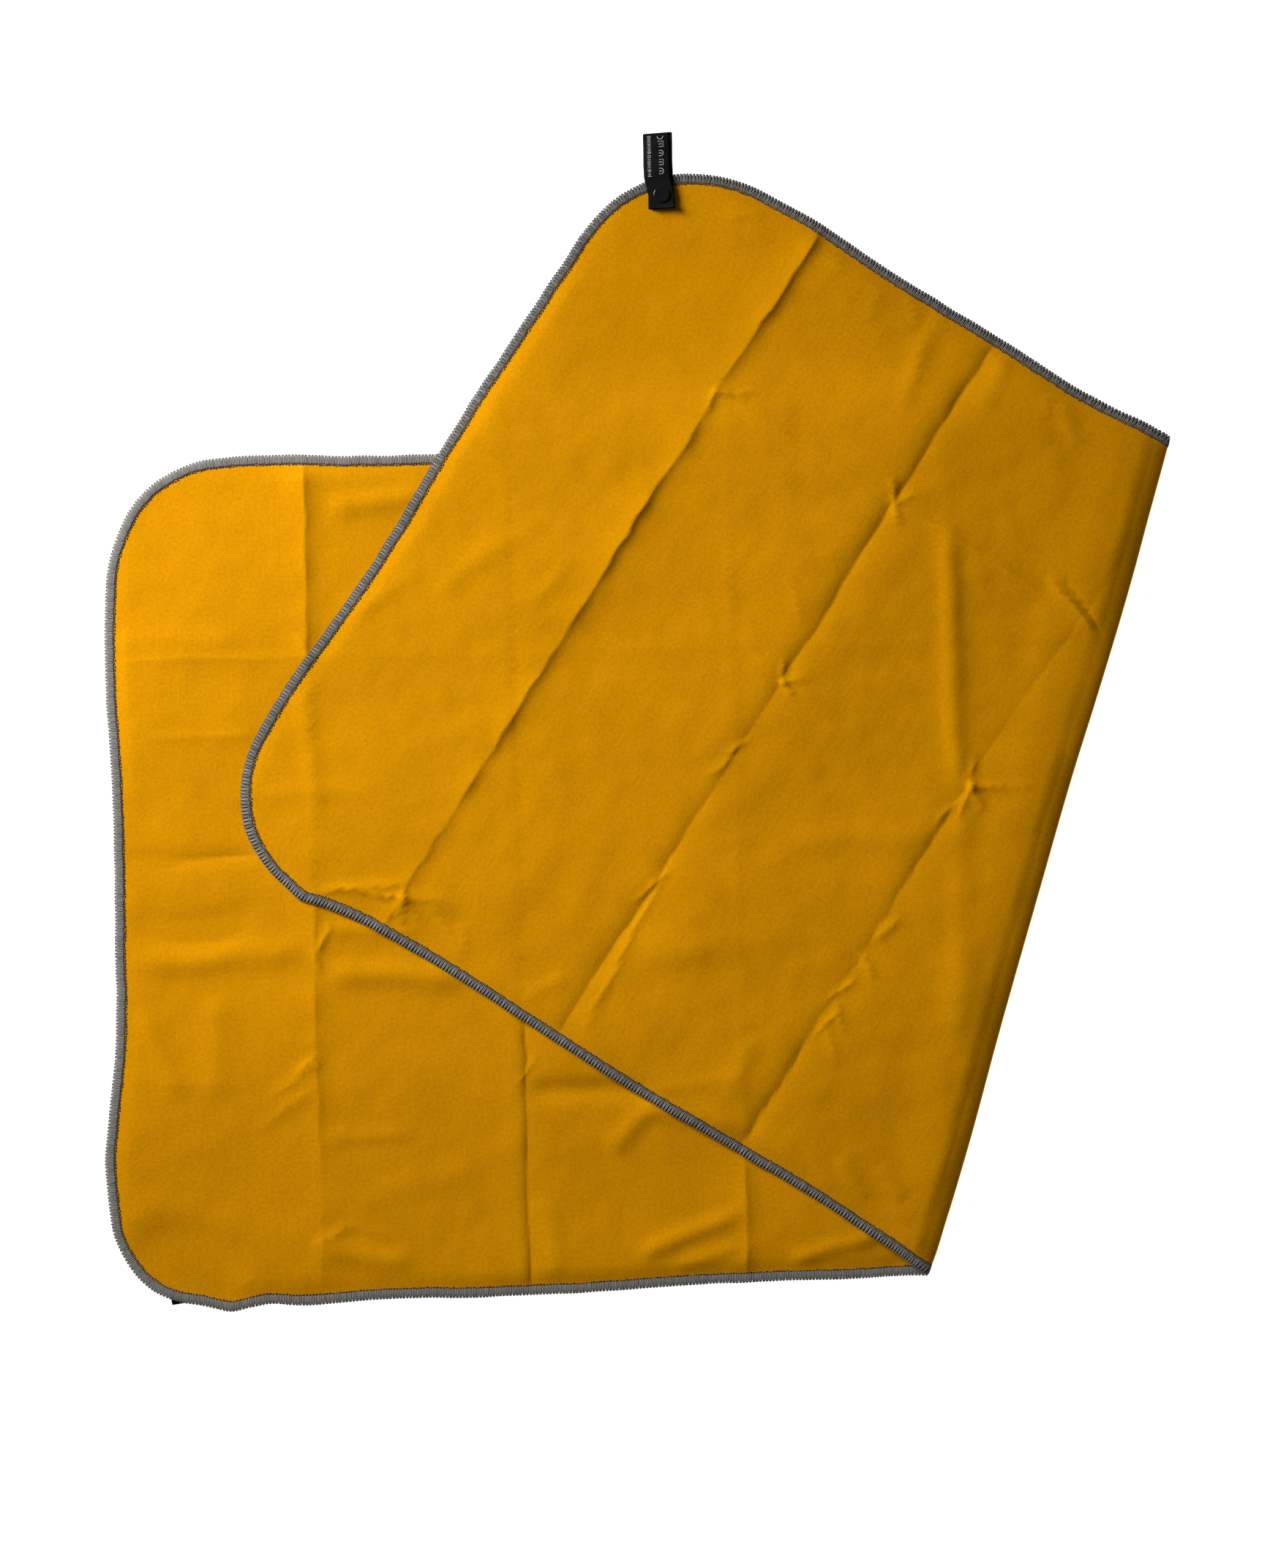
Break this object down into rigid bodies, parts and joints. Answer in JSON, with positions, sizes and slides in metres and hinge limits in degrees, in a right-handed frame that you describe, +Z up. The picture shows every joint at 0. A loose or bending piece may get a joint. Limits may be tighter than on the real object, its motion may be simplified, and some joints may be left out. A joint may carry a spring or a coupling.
{
  "type": "quick dry towel",
  "caption": "Rectangular microfibre cloth lying folded over on itself along a slanting line, with an overlocked edge and snap-fastened hang loops of black label tape at opposite corners.",
  "frame": {"origin": "middle of the box that the folded towel fills, at the height of the table it lies on", "axes": "+X along the lower long edge of the base layer towards the fold, +Y across the towel towards the upper hang loop, +Z up from the table"},
  "size_m": [0.764, 0.8328, 0.0087],
  "materials": {
    "cloth": "brushed suede-like microfibre knit, matt",
    "edging_thread": "grey textured overlock thread",
    "label_tape": "black satin-woven label tape",
    "snap_plastic": "moulded black resin, satin gloss",
    "tack_thread": "black sewing thread"
  },
  "bodies": {
    "towel_base": {"cloth_base": "cloth", "upper_looper_base": "edging_thread", "lower_looper_base": "edging_thread", "needle_thread_base": "edging_thread", "loop_2_sewn_leg": "label_tape", "loop_2_bar_tack": "tack_thread", "loop_2_stud_rivet": "snap_plastic", "loop_2_stud": "snap_plastic"},
    "towel_flap": {"cloth_flap": "cloth", "upper_looper_flap": "edging_thread", "lower_looper_flap": "edging_thread", "needle_thread_flap": "edging_thread", "loop_1_sewn_leg": "label_tape", "loop_1_bar_tack": "tack_thread", "loop_1_stud_rivet": "snap_plastic", "loop_1_stud": "snap_plastic"},
    "loop_1_tab": {"loop_1_free_leg": "label_tape", "loop_1_socket": "snap_plastic", "loop_1_cap": "snap_plastic"},
    "loop_2_tab": {"loop_2_free_leg": "label_tape", "loop_2_socket": "snap_plastic", "loop_2_cap": "snap_plastic"}
  },
  "joints": [
    {"name": "towel_fold", "type": "hinge", "parent": "towel_base", "child": "towel_flap", "pos_m": [0.20097, -0.41497, 0.002], "axis": [0.289, 0.9573, 0], "range_deg": [0, 179]},
    {"name": "loop_1_unsnap", "type": "hinge", "parent": "towel_flap", "child": "loop_1_tab", "pos_m": [0.02343, 0.41606, 0.00485], "axis": [-0.9986, -0.0523, 0], "range_deg": [0, 170]},
    {"name": "loop_2_swing_out", "type": "hinge", "parent": "towel_base", "child": "loop_2_tab", "pos_m": [-0.33753, -0.41524, 0.00175], "axis": [-0.99, -0.1409, 0], "range_deg": [0, 180]}
  ]
}
